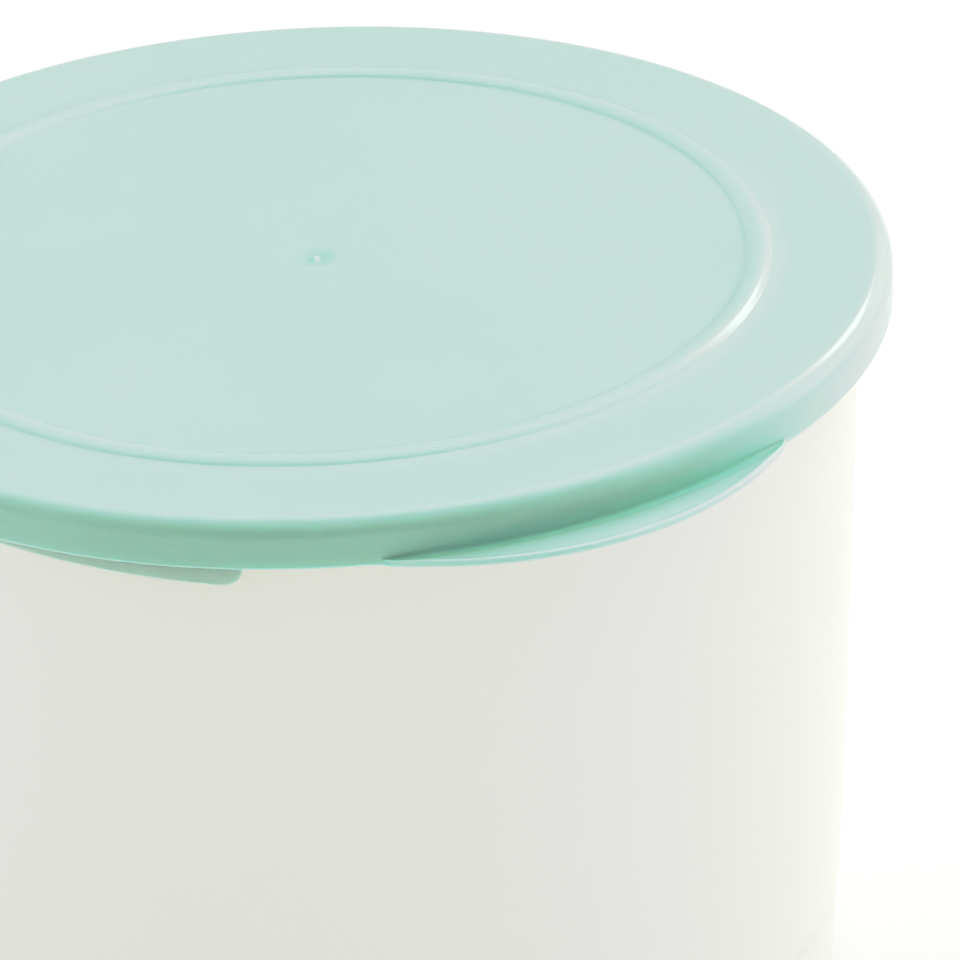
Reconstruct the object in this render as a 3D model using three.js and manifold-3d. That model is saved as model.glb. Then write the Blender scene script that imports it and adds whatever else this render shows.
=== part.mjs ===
// Round food container with a press-on snap lid, in millimetres, +Z up.
// The origin is the centre of the flat underside; the lid's pull tab points towards -Y.

import * as THREE from 'three';
import { mergeVertices } from 'three/addons/utils/BufferGeometryUtils.js';
import Module from 'manifold-3d';

const wasm = await Module();
wasm.setup();

// ---- Driving dimensions ----

const SEGMENTS = 60; // facets round every turned surface
const ARC_STEPS = 4; // facets in a quarter-round edge
const CUT_MARGIN = 0.3; // how far a cutting solid passes the face that it cuts

// Tub
const RIM_TOP = 125.9; // height of the tub's own rim
const WALL_DATUM = 127.6; // height from which the wall's taper is measured
const WALL_DATUM_RADIUS = 85.2;
const WALL_TAPER = 0.035; // radius lost for each millimetre of depth
const WALL_BOW = 9.7e-5; // extra radius lost, for each square millimetre of depth
const WALL = 1.3;
const FLOOR = 1.8;
const WALL_STATIONS = 6;
const RIM_RADIUS = 88.3; // outside of the rim bead that the lid snaps over
const RIM_ROUND = 1.6;
const RIM_BEAD_HEIGHT = 3.6;
const RIM_UNDERCUT = 0.6; // slope under the rim bead
const STEP_HEIGHT = 19.4; // the rounded step round the wall near the base
const STEP_INSET = 0.3;
const STEP_LENGTH = 0.8;
const BASE_ROUND = 6;
const CHANNEL_RADIUS = 69.5; // underside channel that sits over the bead of a lid below
const CHANNEL_HALF_WIDTH = 2.6;
const CHANNEL_DEPTH = 0.8;

// Lid
const LID_TOP = 127.7; // height of the flat top
const LID_THICKNESS = 1.5;
const LID_RADIUS = 90.2;
const LID_EDGE_ROUND = 3;
const SKIRT_BOTTOM = 120.1;
const SKIRT_INNER_RADIUS = 88.9;
const SKIRT_FOOT_ROUND = 0.4;
const SNAP_BEAD_RADIUS = 88.6; // inside of the bead that catches under the rim
const SNAP_BEAD_LOW = 120.9;
const SNAP_BEAD_HIGH = 121.6;
const SNAP_BEAD_SLOPE = 0.8;
const PLUG_RADIUS = 83.2; // sealing ring that enters the tub's mouth
const PLUG_WALL = 1.2;
const PLUG_DEPTH = 4.9;
const PLUG_CHAMFER = 0.5;
const BEAD_RADIUS = 69.5; // crest of the raised ring on the top
const BEAD_HALF_WIDTH = 2.2;
const BEAD_HEIGHT = 0.6;
const BEAD_SHOULDER = 0.75; // share of its height that the ring has half way down each side
const GATE_RADIUS = 4.4; // moulding gate mark: a nub standing in a shallow dimple
const GATE_DEPTH = 0.35;
const GATE_NUB_RADIUS = 0.8;
const GATE_NUB_HEIGHT = 0.25;

// Pull tab: a crescent cut from a disc that stands out beyond the skirt
const TAB_DISC_RADIUS = 52.3;
const TAB_DISC_OFFSET = 44.6;
const TAB_THICKNESS = 1;
const TAB_LIP_WIDTH = 1.2;
const TAB_LIP_HEIGHT = 0.3;
const TAB_ROOT = 89.4; // radius, inside the skirt's wall, where the tab is rooted

// Side lip: on one side of the tab the skirt reaches lower, and the lip dies away round the lid
const LIP_RADIUS = 89.6;
const LIP_START = 35.7; // degrees from the tab's centre line, towards -X
const LIP_END = 70;
const LIP_INNER_RADIUS = 88.5;
const LIP_RISE = 7.3; // drop of the sloping lower edge across one radius
const LIP_ROOT_HEIGHT = 1; // height above the skirt's foot where the lip is rooted
const LIP_SEGMENTS = 10;

const BLOCK = 400; // side of the cutting block, larger than the whole lid
const TAB_DIRECTION = -Math.PI / 2; // towards -Y

// ---- Profile helpers ----

function arc(centreX, centreZ, radiusX, radiusZ, fromDegrees, toDegrees) {
  const points = [];
  for (let step = 0; step <= ARC_STEPS; step += 1) {
    const degrees = fromDegrees + ((toDegrees - fromDegrees) * step) / ARC_STEPS;
    const angle = THREE.MathUtils.degToRad(degrees);
    points.push([centreX + radiusX * Math.cos(angle), centreZ + radiusZ * Math.sin(angle)]);
  }
  return points;
}

function wallRadius(z) {
  const depth = WALL_DATUM - z;
  return WALL_DATUM_RADIUS - WALL_TAPER * depth - WALL_BOW * depth * depth;
}

function wallLine(fromZ, toZ, inset) {
  const points = [];
  for (let station = 0; station <= WALL_STATIONS; station += 1) {
    const z = fromZ + ((toZ - fromZ) * station) / WALL_STATIONS;
    points.push([wallRadius(z) - inset, z]);
  }
  return points;
}

// ---- Solid helpers ----

function toSolid(geometry) {
  const bare = geometry.clone();
  bare.deleteAttribute('normal');
  bare.deleteAttribute('uv');
  const merged = mergeVertices(bare);
  const mesh = new wasm.Mesh({
    numProp: 3,
    vertProperties: new Float32Array(merged.getAttribute('position').array),
    triVerts: new Uint32Array(merged.getIndex().array),
  });
  return new wasm.Manifold(mesh);
}

function toGeometry(solid) {
  const mesh = solid.getMesh();
  const geometry = new THREE.BufferGeometry();
  geometry.setAttribute('position', new THREE.BufferAttribute(mesh.vertProperties, 3));
  geometry.setIndex(new THREE.BufferAttribute(mesh.triVerts, 1));
  geometry.computeVertexNormals();
  return geometry;
}

// Turns a profile of [radius, height] points about +Z. The profile runs from the axis, up the
// outside and back to the axis.
function turned(profile) {
  const points = profile.map(([radius, z]) => new THREE.Vector2(radius, z));
  return new THREE.LatheGeometry(points, SEGMENTS).rotateX(Math.PI / 2);
}

function extruded(shape, height, baseZ, curveSegments) {
  const settings = { depth: height, bevelEnabled: false, curveSegments };
  return new THREE.ExtrudeGeometry(shape, settings).translate(0, 0, baseZ);
}

// ---- Tub ----

function tubGeometry() {
  const rimCentre = RIM_RADIUS - RIM_ROUND;
  const rimUnderside = RIM_TOP - RIM_BEAD_HEIGHT;
  const stepTop = STEP_HEIGHT + STEP_LENGTH / 2;
  const stepFoot = STEP_HEIGHT - STEP_LENGTH / 2;
  const baseEdge = wallRadius(BASE_ROUND) - STEP_INSET;
  const innerRound = BASE_ROUND - WALL;
  const innerEdge = wallRadius(FLOOR + innerRound) - WALL;
  const profile = [
    [0, 0],
    [CHANNEL_RADIUS - CHANNEL_HALF_WIDTH, 0],
    [CHANNEL_RADIUS - CHANNEL_HALF_WIDTH + CHANNEL_DEPTH, CHANNEL_DEPTH],
    [CHANNEL_RADIUS + CHANNEL_HALF_WIDTH - CHANNEL_DEPTH, CHANNEL_DEPTH],
    [CHANNEL_RADIUS + CHANNEL_HALF_WIDTH, 0],
    ...arc(baseEdge - BASE_ROUND, BASE_ROUND, BASE_ROUND, BASE_ROUND, -90, 0),
    [wallRadius(stepFoot) - STEP_INSET, stepFoot],
    ...wallLine(stepTop, rimUnderside, 0),
    [RIM_RADIUS - RIM_UNDERCUT, rimUnderside],
    [RIM_RADIUS, rimUnderside + RIM_UNDERCUT],
    ...arc(rimCentre, RIM_TOP - RIM_ROUND, RIM_ROUND, RIM_ROUND, 0, 90),
    ...wallLine(RIM_TOP, FLOOR + innerRound, WALL),
    ...arc(innerEdge - innerRound, FLOOR + innerRound, innerRound, innerRound, 0, -90).slice(1),
    [0, FLOOR],
  ];
  return turned(profile);
}

// ---- Lid ----

function shellProfile() {
  const underside = LID_TOP - LID_THICKNESS;
  const roundX = LID_RADIUS - LID_EDGE_ROUND;
  const roundZ = LID_TOP - LID_EDGE_ROUND;
  const innerRoundX = SKIRT_INNER_RADIUS - roundX;
  const innerRoundZ = underside - roundZ;
  const plugFoot = underside - PLUG_DEPTH;
  const plugInner = PLUG_RADIUS - PLUG_WALL;
  const top = [
    [BEAD_RADIUS + BEAD_HALF_WIDTH, LID_TOP],
    [BEAD_RADIUS + BEAD_HALF_WIDTH / 2, LID_TOP + BEAD_HEIGHT * BEAD_SHOULDER],
    [BEAD_RADIUS, LID_TOP + BEAD_HEIGHT],
    [BEAD_RADIUS - BEAD_HALF_WIDTH / 2, LID_TOP + BEAD_HEIGHT * BEAD_SHOULDER],
    [BEAD_RADIUS - BEAD_HALF_WIDTH, LID_TOP],
    [GATE_RADIUS, LID_TOP],
    [GATE_RADIUS / 2, LID_TOP - GATE_DEPTH],
    [GATE_NUB_RADIUS, LID_TOP - GATE_DEPTH],
    [GATE_NUB_RADIUS / 2, LID_TOP - GATE_DEPTH + GATE_NUB_HEIGHT],
    [0, LID_TOP - GATE_DEPTH + GATE_NUB_HEIGHT],
  ];
  return [
    [0, underside],
    [plugInner, underside],
    [plugInner, plugFoot],
    [PLUG_RADIUS - PLUG_CHAMFER, plugFoot],
    [PLUG_RADIUS, plugFoot + PLUG_CHAMFER],
    [PLUG_RADIUS, underside],
    ...arc(roundX, roundZ, innerRoundX, innerRoundZ, 90, 0),
    [SKIRT_INNER_RADIUS, SNAP_BEAD_HIGH + SNAP_BEAD_SLOPE],
    [SNAP_BEAD_RADIUS, SNAP_BEAD_HIGH],
    [SNAP_BEAD_RADIUS, SNAP_BEAD_LOW],
    [SKIRT_INNER_RADIUS, SKIRT_BOTTOM],
    [LID_RADIUS - SKIRT_FOOT_ROUND, SKIRT_BOTTOM],
    [LID_RADIUS, SKIRT_BOTTOM + SKIRT_FOOT_ROUND],
    ...arc(roundX, roundZ, LID_EDGE_ROUND, LID_EDGE_ROUND, 0, 90),
    ...top,
  ];
}

// A disc set off towards -Y, with everything inside the skirt's wall taken away.
function crescent(discRadius, height, baseZ) {
  const disc = new THREE.Shape().absarc(0, -TAB_DISC_OFFSET, discRadius, 0, 2 * Math.PI, false);
  const root = new THREE.Shape().absarc(0, 0, TAB_ROOT, 0, 2 * Math.PI, false);
  const inside = toSolid(extruded(root, height + 2 * CUT_MARGIN, baseZ - CUT_MARGIN, SEGMENTS));
  return toSolid(extruded(disc, height, baseZ, SEGMENTS)).subtract(inside);
}

function pullTab() {
  const edge = crescent(TAB_DISC_RADIUS, TAB_THICKNESS + TAB_LIP_HEIGHT, SKIRT_BOTTOM);
  const lipInside = crescent(TAB_DISC_RADIUS - TAB_LIP_WIDTH, BLOCK, SKIRT_BOTTOM + TAB_THICKNESS);
  return edge.subtract(lipInside);
}

// The side lip: a piece of a ring whose lower edge lies in a sloping plane.
function sideLip() {
  const start = TAB_DIRECTION - THREE.MathUtils.degToRad(LIP_START);
  const end = TAB_DIRECTION - THREE.MathUtils.degToRad(LIP_END);
  const outline = new THREE.Shape();
  outline.absarc(0, 0, LIP_RADIUS, start, end, true);
  outline.absarc(0, 0, LIP_INNER_RADIUS, end, start, false);
  const depth = LIP_RISE + LIP_ROOT_HEIGHT;
  const ring = toSolid(extruded(outline, depth, SKIRT_BOTTOM - LIP_RISE, LIP_SEGMENTS));
  return ring.subtract(toSolid(belowLipPlane()));
}

// Everything under the plane that meets the skirt's foot at LIP_END and drops towards the tab.
function belowLipPlane() {
  const slope = Math.atan2(LIP_RISE, LIP_RADIUS);
  const footY = -LIP_RADIUS * Math.cos(THREE.MathUtils.degToRad(LIP_END));
  return new THREE.BoxGeometry(BLOCK, BLOCK, BLOCK)
    .translate(0, 0, -BLOCK / 2)
    .rotateX(slope)
    .translate(0, footY, SKIRT_BOTTOM);
}

function lidGeometry() {
  const solid = toSolid(turned(shellProfile())).add(pullTab()).add(sideLip());
  return toGeometry(solid);
}

// ---- Assembly ----

function part(name, geometry, colour, roughness) {
  const material = new THREE.MeshStandardMaterial({ color: colour, roughness, metalness: 0 });
  const mesh = new THREE.Mesh(geometry, material);
  mesh.name = name;
  return mesh;
}

const container = new THREE.Group();
container.add(part('container_body', tubGeometry(), 0xe6e6dc, 0.4));
container.add(part('lid', lidGeometry(), 0xb9e0d5, 0.3));

export default container;
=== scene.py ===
"""Studio scene of a round food container with a press-on snap lid.

The fine surfaces of the tub and the lid are built in millimetres round the vertical axis and
stand for the two CAD solids. An angle here is counted from -Y, where the pull tab points,
towards +X.
"""

import math

import bmesh
import bpy
from mathutils import Matrix, Vector


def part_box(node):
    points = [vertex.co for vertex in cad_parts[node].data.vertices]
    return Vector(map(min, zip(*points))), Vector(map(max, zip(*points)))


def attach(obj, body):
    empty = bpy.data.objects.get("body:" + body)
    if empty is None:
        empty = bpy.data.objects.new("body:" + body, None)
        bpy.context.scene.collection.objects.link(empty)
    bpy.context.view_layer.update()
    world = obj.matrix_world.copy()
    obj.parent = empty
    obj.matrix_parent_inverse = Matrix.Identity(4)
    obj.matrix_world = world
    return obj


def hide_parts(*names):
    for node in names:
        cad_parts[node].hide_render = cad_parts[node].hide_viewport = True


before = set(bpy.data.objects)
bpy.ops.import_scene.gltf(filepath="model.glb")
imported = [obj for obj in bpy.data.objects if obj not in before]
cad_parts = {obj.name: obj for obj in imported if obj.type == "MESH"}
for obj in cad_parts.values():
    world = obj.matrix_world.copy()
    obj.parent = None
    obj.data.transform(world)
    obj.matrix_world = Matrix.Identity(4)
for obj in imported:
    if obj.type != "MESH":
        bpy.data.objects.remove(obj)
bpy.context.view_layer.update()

MM = 0.001

# ---- Sizes in millimetres, from the frame ----

TUB_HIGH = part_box("container_body")[1] / MM
LID_LOW, LID_HIGH = (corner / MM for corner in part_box("lid"))

RIM_RADIUS = TUB_HIGH.x
RIM_TOP = TUB_HIGH.z
TAB_REACH = -LID_LOW.y  # distance from the axis to the tip of the pull tab
LID_RADIUS = LID_HIGH.y
BEAD_HEIGHT = 0.6
LID_TOP = LID_HIGH.z - BEAD_HEIGHT

# Tub
WALL_DATUM = 127.6  # height from which the wall's taper is measured
WALL_DATUM_RADIUS = 85.2
WALL_TAPER = 0.035  # radius lost for each millimetre of depth
WALL_BOW = 9.7e-5  # extra radius lost, for each square millimetre of depth
WALL = 1.3
FLOOR = 1.8
RIM_ROUND = 1.6
RIM_BEAD_HEIGHT = 3.6
RIM_UNDERCUT = 0.6
MOUTH_ROUND = 0.5  # where the rim meets the inner wall, and the outer wall meets the rim bead
STEP_HEIGHT = 19.4
STEP_INSET = 0.3
STEP_ROUND = 0.5
BASE_ROUND = 6.0
CHANNEL_RADIUS = 69.5
CHANNEL_HALF_WIDTH = 2.6
CHANNEL_DEPTH = 0.8
CHANNEL_ROUND = 0.4
CHANNEL_SIDE = 0.9  # across the sloping side, between the centres of its two roundings

# Lid
LID_THICKNESS = 1.5
LID_EDGE_ROUND = 3.0
SKIRT_BOTTOM = 120.1
FOOT_ROUND = 0.4
SKIRT_INNER = 88.9
SNAP_BEAD_RADIUS = 88.6
SNAP_BEAD_HEIGHT = 121.3
SNAP_BEAD_HALF_LENGTH = 0.8
PLUG_RADIUS = 83.2
PLUG_WALL = 1.2
PLUG_DEPTH = 4.9
PLUG_FOOT_ROUND = 0.5
PLUG_INNER_FILLET = 0.6
PLUG_OUTER_FILLET = 0.4
BEAD_RADIUS = 69.5
BEAD_HALF_WIDTH = 2.2
BEAD_ROOT = 0.15  # share of the half width taken by each root fillet
GATE_RADIUS = 4.4
GATE_DEPTH = 0.45
GATE_NUB_RADIUS = 0.9
GATE_NUB_HEIGHT = 0.5
GATE_NUB_FALL = 1.6  # how steeply the nub's sides fall

# Pull tab
TAB_DISC_RADIUS = 52.3
TAB_DISC_OFFSET = TAB_REACH - TAB_DISC_RADIUS
TAB_THICKNESS = 1.0
TAB_LIP_WIDTH = 1.2
TAB_LIP_HEIGHT = 0.25
TAB_FILLET = 0.9
TAB_EDGE_ROUND = 0.45
TAB_RISE = 0.8  # how far the tab stands proud where its section is fully its own
TAB_SPREAD = 1.6  # height of plain skirt over which the same points lie beside the tab

# Side lip below the skirt, on the -X side of the tab
LIP_START = -35.7
LIP_END = -70.0
LIP_RISE = 7.3
LIP_RADIUS = 89.6
LIP_INNER = 88.5
LIP_CORNER = 3.5
LIP_FOOT_ROUND = 0.4
LIP_DRAFT = 0.1  # radius lost for each millimetre that the lip reaches down
LIP_FADE = 0.3  # depth at which the lip's section is fully its own

# ---- Mesh resolution ----

ROUND_STEP = 1.0  # degrees between the columns of a turned surface
FINE_STEP = 0.1  # degrees between columns where the outline turns a corner
ARC_STEPS = 8
FLAT_START = 10  # radius of the first ring of points on a flat disc
SHARP_ANGLE = 50  # degrees from which an edge is shaded as sharp


def smooth_step(value):
    value = min(1.0, max(0.0, value))
    return value * value * (3.0 - 2.0 * value)


def arc(centre_r, centre_z, size_r, size_z, start, end, steps=ARC_STEPS):
    """Points of an elliptical arc in the profile plane, from one angle to another in degrees."""
    points = []
    for step in range(steps + 1):
        angle = math.radians(start + (end - start) * step / steps)
        points.append((centre_r + size_r * math.cos(angle), centre_z + size_z * math.sin(angle)))
    return points


def line(start, end, steps):
    """Evenly spaced points from start up to, but not including, end."""
    return [
        (start[0] + (end[0] - start[0]) * step / steps, start[1] + (end[1] - start[1]) * step / steps)
        for step in range(steps)
    ]


def turned_mesh(name, angles, profile_at):
    """A closed surface whose profile, from axis to axis, may change with the angle."""
    columns = [profile_at(angle) for angle in angles]
    build = bmesh.new()
    rows = len(columns[0])
    first = build.verts.new(Vector((0, 0, columns[0][0][1])) * MM)
    last = build.verts.new(Vector((0, 0, columns[0][-1][1])) * MM)
    grid = []
    for angle, column in zip(angles, columns):
        turn = math.radians(angle)
        direction = Vector((math.sin(turn), -math.cos(turn), 0))
        grid.append([
            build.verts.new((direction * radius + Vector((0, 0, z))) * MM)
            for radius, z in column[1:-1]
        ])
    for index, left in enumerate(grid):
        right = grid[(index + 1) % len(grid)]
        build.faces.new((first, right[0], left[0]))
        build.faces.new((last, left[-1], right[-1]))
        for row in range(rows - 3):
            build.faces.new((left[row], right[row], right[row + 1], left[row + 1]))
    bmesh.ops.recalc_face_normals(build, faces=build.faces)
    mesh = bpy.data.meshes.new(name)
    build.to_mesh(mesh)
    build.free()
    mesh.shade_smooth()
    piece = bpy.data.objects.new(name, mesh)
    bpy.context.scene.collection.objects.link(piece)
    return piece


# ---- Tub ----


def wall_radius(z):
    depth = WALL_DATUM - z
    return WALL_DATUM_RADIUS - WALL_TAPER * depth - WALL_BOW * depth * depth


def wall_line(start_z, end_z, inset, steps):
    points = []
    for step in range(steps + 1):
        z = start_z + (end_z - start_z) * step / steps
        points.append((wall_radius(z) - inset, z))
    return points


def tub_profile(_angle):
    rim_underside = RIM_TOP - RIM_BEAD_HEIGHT
    base_edge = wall_radius(BASE_ROUND) - STEP_INSET
    inner_round = BASE_ROUND - WALL
    inner_edge = wall_radius(FLOOR + inner_round) - WALL
    channel_in = CHANNEL_RADIUS - CHANNEL_HALF_WIDTH
    channel_out = CHANNEL_RADIUS + CHANNEL_HALF_WIDTH
    mouth = wall_radius(RIM_TOP) - WALL
    bend, bend_top = CHANNEL_ROUND, CHANNEL_DEPTH - CHANNEL_ROUND
    points = [(0, 0)]
    points += line((FLAT_START, 0), (channel_in, 0), 6)
    points += arc(channel_in, bend, bend, bend, -90, 0, 3)
    points += arc(channel_in + CHANNEL_SIDE, bend_top, bend, bend, 180, 90, 3)
    points += arc(channel_out - CHANNEL_SIDE, bend_top, bend, bend, 90, 0, 3)
    points += arc(channel_out, bend, bend, bend, 180, 270, 3)
    points += arc(base_edge - BASE_ROUND, BASE_ROUND, BASE_ROUND, BASE_ROUND, -90, 0, 12)
    points += wall_line(BASE_ROUND + 1, STEP_HEIGHT - STEP_ROUND, STEP_INSET, 6)
    below_step = wall_radius(STEP_HEIGHT) - STEP_INSET
    points += arc(below_step, STEP_HEIGHT, STEP_INSET, STEP_ROUND, -20, 60, 4)
    points += wall_line(STEP_HEIGHT + 1.5, rim_underside - 1, 0, 40)
    bend, outside = MOUTH_ROUND, wall_radius(rim_underside)
    points += arc(outside + bend, rim_underside - bend, bend, bend, 180, 90, 4)
    undercut_height = rim_underside + RIM_UNDERCUT
    points += arc(RIM_RADIUS - RIM_UNDERCUT, undercut_height, RIM_UNDERCUT, RIM_UNDERCUT, -90, 0, 5)
    points += arc(RIM_RADIUS - RIM_ROUND, RIM_TOP - RIM_ROUND, RIM_ROUND, RIM_ROUND, 0, 90, 10)
    points += arc(mouth + bend, RIM_TOP - bend, bend, bend, 90, 180, 5)
    points += wall_line(RIM_TOP - 1.5, FLOOR + inner_round + 1, WALL, 40)
    bend, floor_edge = inner_round, inner_edge - inner_round
    points += arc(floor_edge, FLOOR + bend, bend, bend, 0, -90, 12)
    points += line((floor_edge - 5, FLOOR), (FLAT_START, FLOOR), 6)
    points += [(0, FLOOR)]
    return points


# ---- Lid ----


def tab_edge(angle):
    """Distance from the axis to the tab's outline in that direction, or None where it has none."""
    turn = math.radians(angle)
    across = TAB_DISC_OFFSET * math.sin(turn)
    if math.cos(turn) <= 0 or abs(across) >= TAB_DISC_RADIUS:
        return None
    return TAB_DISC_OFFSET * math.cos(turn) + math.sqrt(TAB_DISC_RADIUS**2 - across**2)


def lip_depth(angle):
    """How far the side lip reaches below the skirt's foot at that angle."""
    if not LIP_END < angle < LIP_START:
        return 0.0
    slope = LIP_RISE * (math.cos(math.radians(angle)) - math.cos(math.radians(LIP_END)))
    along = math.radians(LIP_START - angle) * LIP_RADIUS
    corner = 1.0 - max(0.0, 1.0 - along / LIP_CORNER) ** 2
    return slope * math.sqrt(corner)


def lip_profile(angle):
    """The side lip in section, from the inside of the skirt down and up again to its foot."""
    depth = lip_depth(angle)
    rounding = min(LIP_FOOT_ROUND, depth * 0.5 + 0.05)
    low = SKIRT_BOTTOM - depth
    foot = LIP_RADIUS - LIP_DRAFT * depth
    points = [(LIP_INNER, SKIRT_BOTTOM + 0.4)]
    points += arc(LIP_INNER + rounding, low + rounding, rounding, rounding, 180, 270, 4)
    points += arc(foot - rounding, low + rounding, rounding, rounding, 270, 360, 4)
    points += [(LIP_RADIUS, SKIRT_BOTTOM + 0.02)]
    flat = line((SKIRT_INNER + 0.05, SKIRT_BOTTOM), (LIP_RADIUS, SKIRT_BOTTOM), len(points))
    share = smooth_step(depth / LIP_FADE)
    return [
        (f[0] + (p[0] - f[0]) * share, f[1] + (p[1] - f[1]) * share)
        for f, p in zip(flat, points)
    ]


def foot_profile(angle):
    """The outside of the skirt's foot, plain or with the tab; always the same point count."""
    edge = tab_edge(angle)
    proud = max(0.0, edge - LID_RADIUS) if edge else 0.0
    section = TAB_EDGE_ROUND + TAB_LIP_WIDTH + TAB_FILLET
    size = min(1.0, proud / section)
    fillet = TAB_FILLET * size
    rounding = TAB_EDGE_ROUND * size
    lip_height = TAB_LIP_HEIGHT * size
    face = SKIRT_BOTTOM + TAB_THICKNESS
    top = face + lip_height
    outer = LID_RADIUS + proud
    inner = outer - (TAB_EDGE_ROUND + TAB_LIP_WIDTH) * size
    low_round = (outer - rounding, SKIRT_BOTTOM + rounding)

    shaped = arc(*low_round, rounding, rounding, -90, 0, 5)
    shaped += arc(low_round[0], top - rounding, rounding, rounding, 0, 90, 5)
    shaped += [
        (inner + (low_round[0] - inner) * share, face + lip_height * smooth_step(share))
        for share in (0.75, 0.5, 0.25, 0.0)
    ]
    shaped += arc(LID_RADIUS + fillet, face + fillet, fillet, fillet, 270, 180, 6)

    foot = SKIRT_BOTTOM + FOOT_ROUND
    plain = arc(LID_RADIUS - FOOT_ROUND, foot, FOOT_ROUND, FOOT_ROUND, -90, 0, 5)
    rest = len(shaped) - len(plain)
    plain += [(LID_RADIUS, foot + TAB_SPREAD * (step + 1) / rest) for step in range(rest)]
    share = smooth_step(proud / TAB_RISE)
    return [
        (p[0] + (s[0] - p[0]) * share, p[1] + (s[1] - p[1]) * share)
        for p, s in zip(plain, shaped)
    ]


def bead_points():
    """The raised ring, from its outer to its inner side: a low arch with small root fillets."""
    points = []
    steps = 20
    for step in range(steps + 1):
        offset = 1.0 - 2.0 * step / steps
        arch = 1.0 - offset * offset
        root = smooth_step((1.0 - abs(offset)) / BEAD_ROOT)
        points.append((BEAD_RADIUS + BEAD_HALF_WIDTH * offset, LID_TOP + BEAD_HEIGHT * arch * root))
    return points


def gate_points(angle):
    """The moulding gate mark, from its outer side to the axis: a nub in a shallow dimple."""
    points = []
    steps = 18
    turn = math.radians(angle)
    lobe = 1.0 + 0.18 * math.cos(2 * turn + 0.6) + 0.1 * math.cos(3 * turn)  # not quite round
    for step in range(steps + 1):
        share = 1.0 - step / steps
        radius = GATE_RADIUS * share
        dimple = -GATE_DEPTH * 0.5 * (1 + math.cos(math.pi * share))
        spread = radius / (GATE_NUB_RADIUS * lobe)
        nub = GATE_NUB_HEIGHT * math.exp(-(spread**2) * GATE_NUB_FALL)
        points.append((radius, LID_TOP + dimple + nub))
    return points


def snap_bead_points():
    """The inside of the skirt, downwards past the snap bead."""
    points = [(SKIRT_INNER, SNAP_BEAD_HEIGHT + 1.5 * SNAP_BEAD_HALF_LENGTH)]
    proud = SKIRT_INNER - SNAP_BEAD_RADIUS
    for turn in range(20, 161, 20):
        z = SNAP_BEAD_HEIGHT + SNAP_BEAD_HALF_LENGTH * (1 - turn / 90)
        points.append((SKIRT_INNER - proud * math.sin(math.radians(turn)), z))
    return points


def lid_profile(angle):
    underside = LID_TOP - LID_THICKNESS
    round_r = LID_RADIUS - LID_EDGE_ROUND
    round_z = LID_TOP - LID_EDGE_ROUND
    plug_foot = underside - PLUG_DEPTH
    plug_inner = PLUG_RADIUS - PLUG_WALL
    points = [(0, underside)]
    bend = PLUG_INNER_FILLET
    points += line((FLAT_START, underside), (plug_inner - bend, underside), 8)
    points += arc(plug_inner - bend, underside - bend, bend, bend, 90, 0, 4)
    bend = PLUG_FOOT_ROUND
    points += arc(plug_inner + bend, plug_foot + bend, bend, bend, 180, 270, 5)
    points += arc(PLUG_RADIUS - bend, plug_foot + bend, bend, bend, 270, 360, 5)
    bend = PLUG_OUTER_FILLET
    points += arc(PLUG_RADIUS + bend, underside - bend, bend, bend, 180, 90, 4)
    points += arc(round_r, round_z, SKIRT_INNER - round_r, underside - round_z, 90, 0, 8)
    points += snap_bead_points()
    points += lip_profile(angle)
    points += foot_profile(angle)
    points += arc(round_r, round_z, LID_EDGE_ROUND, LID_EDGE_ROUND, 0, 90, 14)
    points += line((round_r - 1, LID_TOP), (BEAD_RADIUS + BEAD_HALF_WIDTH + 1, LID_TOP), 6)
    points += bead_points()
    points += line((BEAD_RADIUS - BEAD_HALF_WIDTH - 1, LID_TOP), (GATE_RADIUS + 1, LID_TOP), 14)
    points += gate_points(angle)
    return points


def round_angles():
    return [step * ROUND_STEP for step in range(int(360 / ROUND_STEP))]


def lid_angles():
    """Evenly spaced columns, and finer ones where the lip starts or the tab meets the skirt."""
    tab_end = next(step / 10 for step in range(900) if (tab_edge(step / 10) or 0) <= LID_RADIUS)
    angles = {round(angle, 3) for angle in round_angles()}
    for start, end in (
        (LIP_START - 3.0, LIP_START + 0.3),
        (-tab_end - 0.5, -tab_end + 3.0),
        (tab_end - 3.0, tab_end + 0.5),
    ):
        for step in range(round((end - start) / FINE_STEP)):
            angles.add(round((start + step * FINE_STEP) % 360, 3))
    return sorted(angles)


def signed(angle):
    """The same direction as an angle from -180 to 180 degrees."""
    return angle - 360 if angle > 180 else angle


# ---- Materials ----

# Base colours, each from its deeper to its paler shade
MINT = (0.386, 0.555, 0.49), (0.402, 0.573, 0.506)
# painted light on the side lip: greyer, as it looks in the skirt's shade when lit from the floor
MINT_SIDE_LIP_PAINTED_LIGHT = (0.42, 0.5, 0.46), (0.44, 0.52, 0.48)
# painted light on the tab: paler, for its sheen and the light that passes through the thin plastic
MINT_TAB_PAINTED_LIGHT = (0.43, 0.555, 0.51), (0.45, 0.575, 0.53)
# painted shade in the dimple of the gate mark
MINT_DIMPLE_PAINTED_SHADE = (0.35, 0.53, 0.46), (0.36, 0.545, 0.475)
# painted shade in the corner between the skirt and the tab, greener like light bounced there
MINT_CORNER_PAINTED_SHADE = (0.35, 0.62, 0.55), (0.37, 0.64, 0.57)
NATURAL_OUTSIDE = (0.893, 0.904, 0.768), (0.913, 0.924, 0.784)
# painted light: the inner wall whiter, to offset the tint of the light that bounces many times inside
# the tub
NATURAL_INSIDE_PAINTED_LIGHT = (0.86, 0.86, 0.835), (0.88, 0.88, 0.855)
PLASTIC_IOR = 1.49


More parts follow.
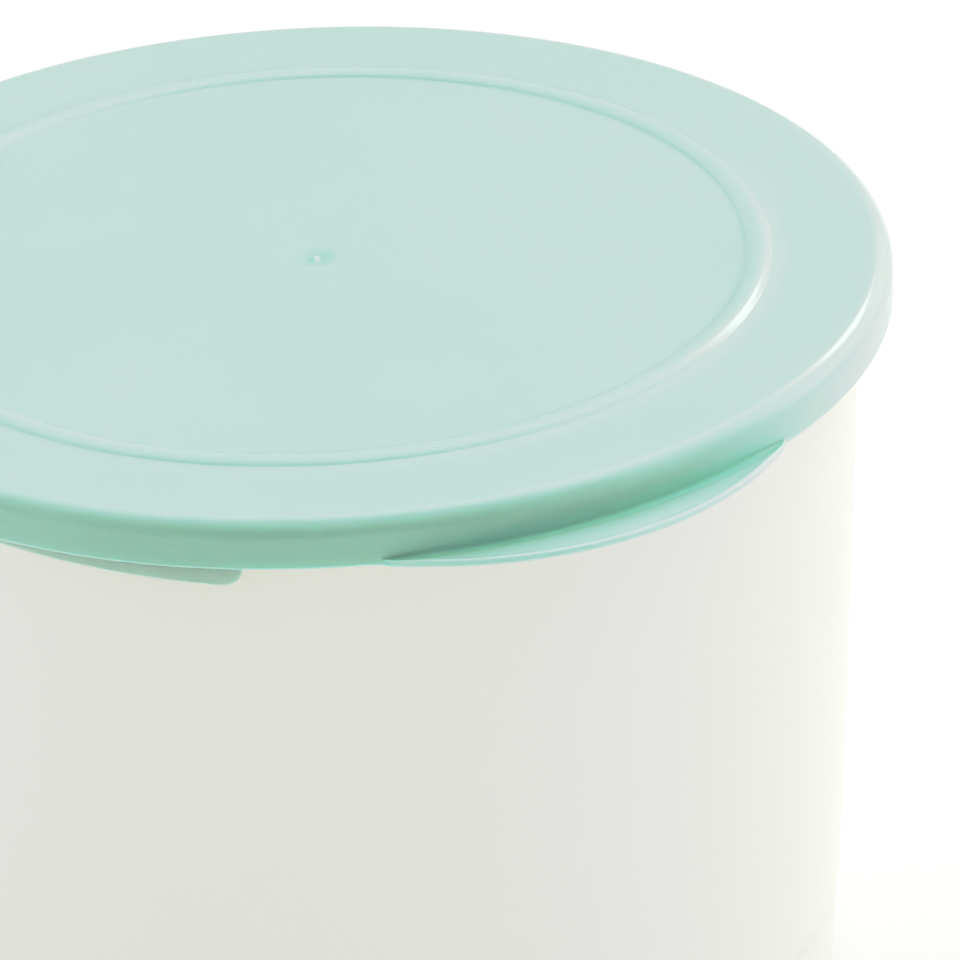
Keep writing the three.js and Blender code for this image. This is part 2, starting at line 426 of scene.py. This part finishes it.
class Nodes:
    """Short calls for building a material's node tree."""

    def __init__(self, name):
        self.material = bpy.data.materials.new(name)
        self.material.use_nodes = True
        self.tree = self.material.node_tree
        self.shader = self.tree.nodes["Principled BSDF"]
        coordinates = self.tree.nodes.new("ShaderNodeTexCoord")
        self.position = coordinates.outputs["Object"]

    def link(self, source, target):
        self.tree.links.new(source, target)

    def noise(self, scale, detail=3.0, stretch=(1, 1, 1)):
        mapping = self.tree.nodes.new("ShaderNodeMapping")
        mapping.inputs["Scale"].default_value = stretch
        self.link(self.position, mapping.inputs["Vector"])
        node = self.tree.nodes.new("ShaderNodeTexNoise")
        node.inputs["Scale"].default_value = scale
        node.inputs["Detail"].default_value = detail
        self.link(mapping.outputs["Vector"], node.inputs["Vector"])
        return node.outputs["Fac"]

    def ramp(self, value, low, high):
        """Maps a noise value onto low..high, which are numbers or colours."""
        if isinstance(low, tuple):
            node = self.tree.nodes.new("ShaderNodeValToRGB")
            node.color_ramp.elements[0].position = 0.3
            node.color_ramp.elements[0].color = (*low, 1)
            node.color_ramp.elements[1].position = 0.7
            node.color_ramp.elements[1].color = (*high, 1)
            self.link(value, node.inputs["Fac"])
            return node.outputs["Color"]
        node = self.tree.nodes.new("ShaderNodeMapRange")
        node.inputs["From Min"].default_value = 0.3
        node.inputs["From Max"].default_value = 0.7
        node.inputs["To Min"].default_value = low
        node.inputs["To Max"].default_value = high
        self.link(value, node.inputs["Value"])
        return node.outputs["Result"]

    def position_part(self, axis):
        """One coordinate of the point, in metres: X, Y or Z."""
        node = self.tree.nodes.new("ShaderNodeSeparateXYZ")
        self.link(self.position, node.inputs["Vector"])
        return node.outputs[axis]

    def axis_distance(self):
        """The distance from the object's upright axis, in metres."""
        flat = self.tree.nodes.new("ShaderNodeVectorMath")
        flat.operation = "MULTIPLY"
        flat.inputs[1].default_value = (1, 1, 0)
        self.link(self.position, flat.inputs[0])
        length = self.tree.nodes.new("ShaderNodeVectorMath")
        length.operation = "LENGTH"
        self.link(flat.outputs["Vector"], length.inputs[0])
        return length.outputs["Value"]

    def share(self, value, start, end):
        """Goes smoothly from 0 to 1 between two distances in millimetres."""
        node = self.tree.nodes.new("ShaderNodeMapRange")
        node.interpolation_type = "SMOOTHSTEP"
        node.inputs["From Min"].default_value = start * MM
        node.inputs["From Max"].default_value = end * MM
        self.link(value, node.inputs["Value"])
        return node.outputs["Result"]

    def lean(self, radius, height, slope):
        """The radius at height 0 of the sloping line through a point."""
        node = self.tree.nodes.new("ShaderNodeMath")
        node.operation = "MULTIPLY_ADD"
        node.inputs[1].default_value = -slope
        self.link(height, node.inputs[0])
        self.link(radius, node.inputs[2])
        return node.outputs["Value"]

    def times(self, first, second):
        node = self.tree.nodes.new("ShaderNodeMath")
        node.operation = "MULTIPLY"
        self.link(first, node.inputs[0])
        self.link(second, node.inputs[1])
        return node.outputs["Value"]

    def blend(self, share, first, second):
        """Goes from the first colour to the second as the share goes from 0 to 1."""
        node = self.tree.nodes.new("ShaderNodeMix")
        node.data_type = "RGBA"
        # the Mix node's sockets share their names, so its colour ones go by number
        factor, colour_a, colour_b, colour_result = 0, 6, 7, 2
        self.link(share, node.inputs[factor])
        self.link(first, node.inputs[colour_a])
        self.link(second, node.inputs[colour_b])
        return node.outputs[colour_result]

    def bump(self, value, strength, distance, under=None):
        node = self.tree.nodes.new("ShaderNodeBump")
        node.inputs["Strength"].default_value = strength
        node.inputs["Distance"].default_value = distance
        self.link(value, node.inputs["Height"])
        if under is not None:
            self.link(under, node.inputs["Normal"])
        return node.outputs["Normal"]


def mint_colour(nodes):
    """The lid's colour, with light and shade painted in: paler painted light on the thin side lip and
    tab, deeper painted shade in the gate dimple and in the corner over the tab.
    """
    clouds = nodes.noise(22, 2)
    height = nodes.position_part("Z")
    radius = nodes.axis_distance()
    face = SKIRT_BOTTOM + TAB_THICKNESS
    # painted light: paler and greyer on the side lip, which sits in the skirt's shade and is lit from
    # the floor; paler on the tab, for its sheen and the light that passes through it
    side_lip_painted_light = nodes.share(height, SKIRT_BOTTOM, SKIRT_BOTTOM - 0.3)
    colour = nodes.blend(side_lip_painted_light, nodes.ramp(clouds, *MINT), nodes.ramp(clouds, *MINT_SIDE_LIP_PAINTED_LIGHT))
    tab = nodes.share(radius, LID_RADIUS + 0.5, LID_RADIUS + 1.5)
    colour = nodes.blend(tab, colour, nodes.ramp(clouds, *MINT_TAB_PAINTED_LIGHT))
    # painted shade: deeper in the dimple of the gate mark
    dimple = nodes.share(radius, GATE_RADIUS, GATE_RADIUS * 0.5)
    colour = nodes.blend(dimple, colour, nodes.ramp(clouds, *MINT_DIMPLE_PAINTED_SHADE))
    # painted shade: deeper and greener in the corner between the skirt and the tab, as light bounced
    # between them would be
    corner_shade_by_tab = nodes.share(nodes.position_part("Y"), -LID_RADIUS * 0.91, -LID_RADIUS * 0.98)
    low = nodes.share(height, face + 4, face + 0.3)
    corner_shade_inward = nodes.share(radius, LID_RADIUS + 1.1, LID_RADIUS + 0.3)
    corner = nodes.times(nodes.times(low, corner_shade_inward), corner_shade_by_tab)
    return nodes.blend(corner, colour, nodes.ramp(clouds, *MINT_CORNER_PAINTED_SHADE))


def mint_plastic():
    nodes = Nodes("mint_plastic")
    shader = nodes.shader
    nodes.link(mint_colour(nodes), shader.inputs["Base Color"])
    nodes.link(nodes.ramp(nodes.noise(180, 4), 0.13, 0.17), shader.inputs["Roughness"])
    wave = nodes.bump(nodes.noise(30, 1), 0.25, 0.0002)
    peel = nodes.bump(nodes.noise(900, 2), 0.08, 0.00005, wave)
    nodes.link(peel, shader.inputs["Normal"])
    shader.inputs["IOR"].default_value = PLASTIC_IOR
    shader.inputs["Specular IOR Level"].default_value = 0.4
    shader.inputs["Subsurface Weight"].default_value = 1.0
    shader.inputs["Subsurface Radius"].default_value = (0.7, 1.0, 0.9)
    shader.inputs["Subsurface Scale"].default_value = 0.002
    return nodes.material


def natural_colour(nodes):
    """The tub's colour, with painted light: whiter on its inner wall, to offset the tint of the light
    that has bounced there many times.
    """
    clouds = nodes.noise(16, 3, (1, 1, 0.4))
    slope = (wall_radius(RIM_TOP) - wall_radius(BASE_ROUND)) / (RIM_TOP - BASE_ROUND)
    # a straight line that stays within the thickness of the slightly bowed wall
    wall_middle = wall_radius(BASE_ROUND) - slope * BASE_ROUND - WALL / 2 + 0.15
    from_line = nodes.lean(nodes.axis_distance(), nodes.position_part("Z"), slope)
    # painted light: the share of the whiter inner wall colour
    inside = nodes.share(from_line, wall_middle + 0.2, wall_middle - 0.2)
    outside_colour = nodes.ramp(clouds, *NATURAL_OUTSIDE)
    return nodes.blend(inside, outside_colour, nodes.ramp(clouds, *NATURAL_INSIDE_PAINTED_LIGHT))


def natural_plastic():
    nodes = Nodes("natural_plastic")
    shader = nodes.shader
    nodes.link(natural_colour(nodes), shader.inputs["Base Color"])
    nodes.link(nodes.ramp(nodes.noise(120, 4), 0.3, 0.4), shader.inputs["Roughness"])
    wave = nodes.bump(nodes.noise(24, 1, (1, 1, 0.35)), 0.3, 0.0002)
    grain = nodes.bump(nodes.noise(1400, 2), 0.1, 0.00004, wave)
    nodes.link(grain, shader.inputs["Normal"])
    shader.inputs["IOR"].default_value = PLASTIC_IOR
    shader.inputs["Specular IOR Level"].default_value = 0.25
    shader.inputs["Subsurface Weight"].default_value = 1.0
    shader.inputs["Subsurface Radius"].default_value = (1.0, 1.0, 0.9)
    shader.inputs["Subsurface Scale"].default_value = 0.0015
    return nodes.material


def floor_material():
    nodes = Nodes("studio_floor")
    nodes.shader.inputs["Base Color"].default_value = (0.93, 0.93, 0.93, 1)
    nodes.shader.inputs["Roughness"].default_value = 0.7
    return nodes.material


# ---- Pieces ----

tub = turned_mesh("tub_shell", round_angles(), tub_profile)
tub.data.materials.append(natural_plastic())
tub.data.set_sharp_from_angle(angle=math.radians(SHARP_ANGLE))
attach(tub, "tub")
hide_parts("container_body")

lid = turned_mesh("snap_lid", lid_angles(), lambda angle: lid_profile(signed(angle)))
lid.data.materials.append(mint_plastic())
lid.data.set_sharp_from_angle(angle=math.radians(SHARP_ANGLE))
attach(lid, "lid")
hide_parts("lid")

# ---- Floor, light and camera ----

FLOOR_RADIUS = 40  # metres

# Angles in degrees, lengths in millimetres
CAMERA_AIM_HEIGHT = 127.6
CAMERA_AZIMUTH = -27.5
CAMERA_ELEVATION = 25.6403
CAMERA_DISTANCE = 1275.84
CAMERA_PAN = -1.0827
CAMERA_TILT = -1.6162
CAMERA_ROLL = 2.8348
CAMERA_LENS = 306.2
SENSOR = 36.0


def add_floor():
    mesh = bpy.data.meshes.new("floor")
    build = bmesh.new()
    bmesh.ops.create_circle(build, cap_ends=True, radius=FLOOR_RADIUS, segments=96)
    build.to_mesh(mesh)
    build.free()
    floor = bpy.data.objects.new("floor", mesh)
    bpy.context.scene.collection.objects.link(floor)
    floor.data.materials.append(floor_material())


def away(azimuth, elevation=0.0):
    """From the object, the direction that far round from the camera to the right, and up."""
    turn, rise = math.radians(CAMERA_AZIMUTH + azimuth), math.radians(elevation)
    return Vector((
        math.sin(turn) * math.cos(rise), -math.cos(turn) * math.cos(rise), math.sin(rise)
    ))


def add_softbox(name, aim, direction, distance, width, height, power):
    """A rectangular light at that distance from what it is aimed at, in metres and watts."""
    light = bpy.data.lights.new(name, "AREA")
    light.shape = "RECTANGLE"
    light.size = width
    light.size_y = height
    light.energy = power
    box = bpy.data.objects.new(name, light)
    box.location = aim + direction * distance
    box.rotation_mode = "QUATERNION"
    box.rotation_quaternion = direction.to_track_quat("Z", "Y")
    box.visible_camera = False
    bpy.context.scene.collection.objects.link(box)


def directed_glow(tree, coordinates, even, glows):
    """An even strength plus a smooth rise towards each glow's direction."""
    total = None
    for direction, start, end, strength in glows:
        towards = tree.nodes.new("ShaderNodeVectorMath")
        towards.operation = "DOT_PRODUCT"
        towards.inputs[1].default_value = direction
        tree.links.new(coordinates, towards.inputs[0])
        rise = tree.nodes.new("ShaderNodeMapRange")
        rise.interpolation_type = "SMOOTHSTEP"
        rise.inputs["From Min"].default_value = start
        rise.inputs["From Max"].default_value = end
        rise.inputs["To Min"].default_value = 0.0
        rise.inputs["To Max"].default_value = strength
        tree.links.new(towards.outputs["Value"], rise.inputs["Value"])
        sum_so_far = tree.nodes.new("ShaderNodeMath")
        sum_so_far.operation = "ADD"
        sum_so_far.inputs[1].default_value = even
        tree.links.new(rise.outputs["Result"], sum_so_far.inputs[0])
        if total is not None:
            tree.links.new(total, sum_so_far.inputs[1])
        total = sum_so_far.outputs["Value"]
    return total


def set_world():
    """A dim even room with soft glows overhead, behind and on both sides."""
    world = bpy.data.worlds.new("studio")
    bpy.context.scene.world = world
    world.use_nodes = True
    tree = world.node_tree
    coordinates = tree.nodes.new("ShaderNodeTexCoord").outputs["Generated"]
    background = tree.nodes["Background"]
    background.inputs["Color"].default_value = (1, 1, 1, 1)
    strength = directed_glow(tree, coordinates, ROOM_EVEN, ROOM_GLOWS)
    tree.links.new(strength, background.inputs["Strength"])


def add_camera():
    """Stands at the photographer's place and aims at the axis, then pans, tilts and rolls."""
    back = away(0, CAMERA_ELEVATION)
    forward = -back
    right = forward.cross(Vector((0, 0, 1))).normalized()
    up = right.cross(forward)
    pan = Matrix.Rotation(math.radians(CAMERA_PAN), 3, up)
    forward, right = pan @ forward, pan @ right
    tilt = Matrix.Rotation(math.radians(CAMERA_TILT), 3, right)
    forward, up = tilt @ forward, tilt @ up
    roll = Matrix.Rotation(math.radians(CAMERA_ROLL), 3, forward)
    right, up = roll @ right, roll @ up
    data = bpy.data.cameras.new("camera")
    data.lens = CAMERA_LENS
    data.sensor_width = SENSOR
    data.clip_end = 200
    camera = bpy.data.objects.new("camera", data)
    place = Vector((0, 0, CAMERA_AIM_HEIGHT * MM)) + back * CAMERA_DISTANCE * MM
    axes = Matrix((right, up, -forward)).transposed().to_4x4()
    camera.matrix_world = Matrix.Translation(place) @ axes
    bpy.context.scene.collection.objects.link(camera)
    bpy.context.scene.camera = camera


ROOM_EVEN = 0.18
ROOM_GLOWS = (
    # direction, cosine of its angle where the glow starts, and where it is full, strength
    (away(0, 90), 0.5, 0.95, 1.0),
    (away(130, 40), 0.7, 0.95, 1.2),
    (away(-130, 40), 0.7, 0.95, 0.4),
    (away(125, 8), 0.75, 0.95, 1.0),
    (away(-125, 8), 0.75, 0.95, 1.0),
    (away(80, 5), 0.6, 0.95, 0.9),
    (away(-70, 5), 0.6, 0.95, 0.6),
    (away(180), -0.1, 0.4, 0.25),
)
SOFTBOX_AIM = Vector((0, 0, 0.1))
SOFTBOX_DIRECTION = away(150, 33)

add_floor()
set_world()
add_softbox(
    "back_softbox", SOFTBOX_AIM, SOFTBOX_DIRECTION, distance=1.8, width=0.5, height=0.3, power=3.9
)
add_camera()

TONE_WHITE = 1.3  # the light that comes out white
# each point is a share of that light, and its tone from 0 to 1
TONE_TOE = (0.24, 0.25)
TONE_KNEE = (0.5, 0.7)
TONE_SHOULDER = (0.7, 0.8)


def set_tones():
    """A photographic tone curve: deep tones fall, light ones level off, white comes late."""
    settings = bpy.context.scene.view_settings
    settings.view_transform = "Standard"
    settings.use_curve_mapping = True
    mapping = settings.curve_mapping
    mapping.white_level = (TONE_WHITE,) * 3
    for light, tone in (TONE_TOE, TONE_KNEE, TONE_SHOULDER):
        mapping.curves[3].points.new(light, tone)
    mapping.update()


set_tones()
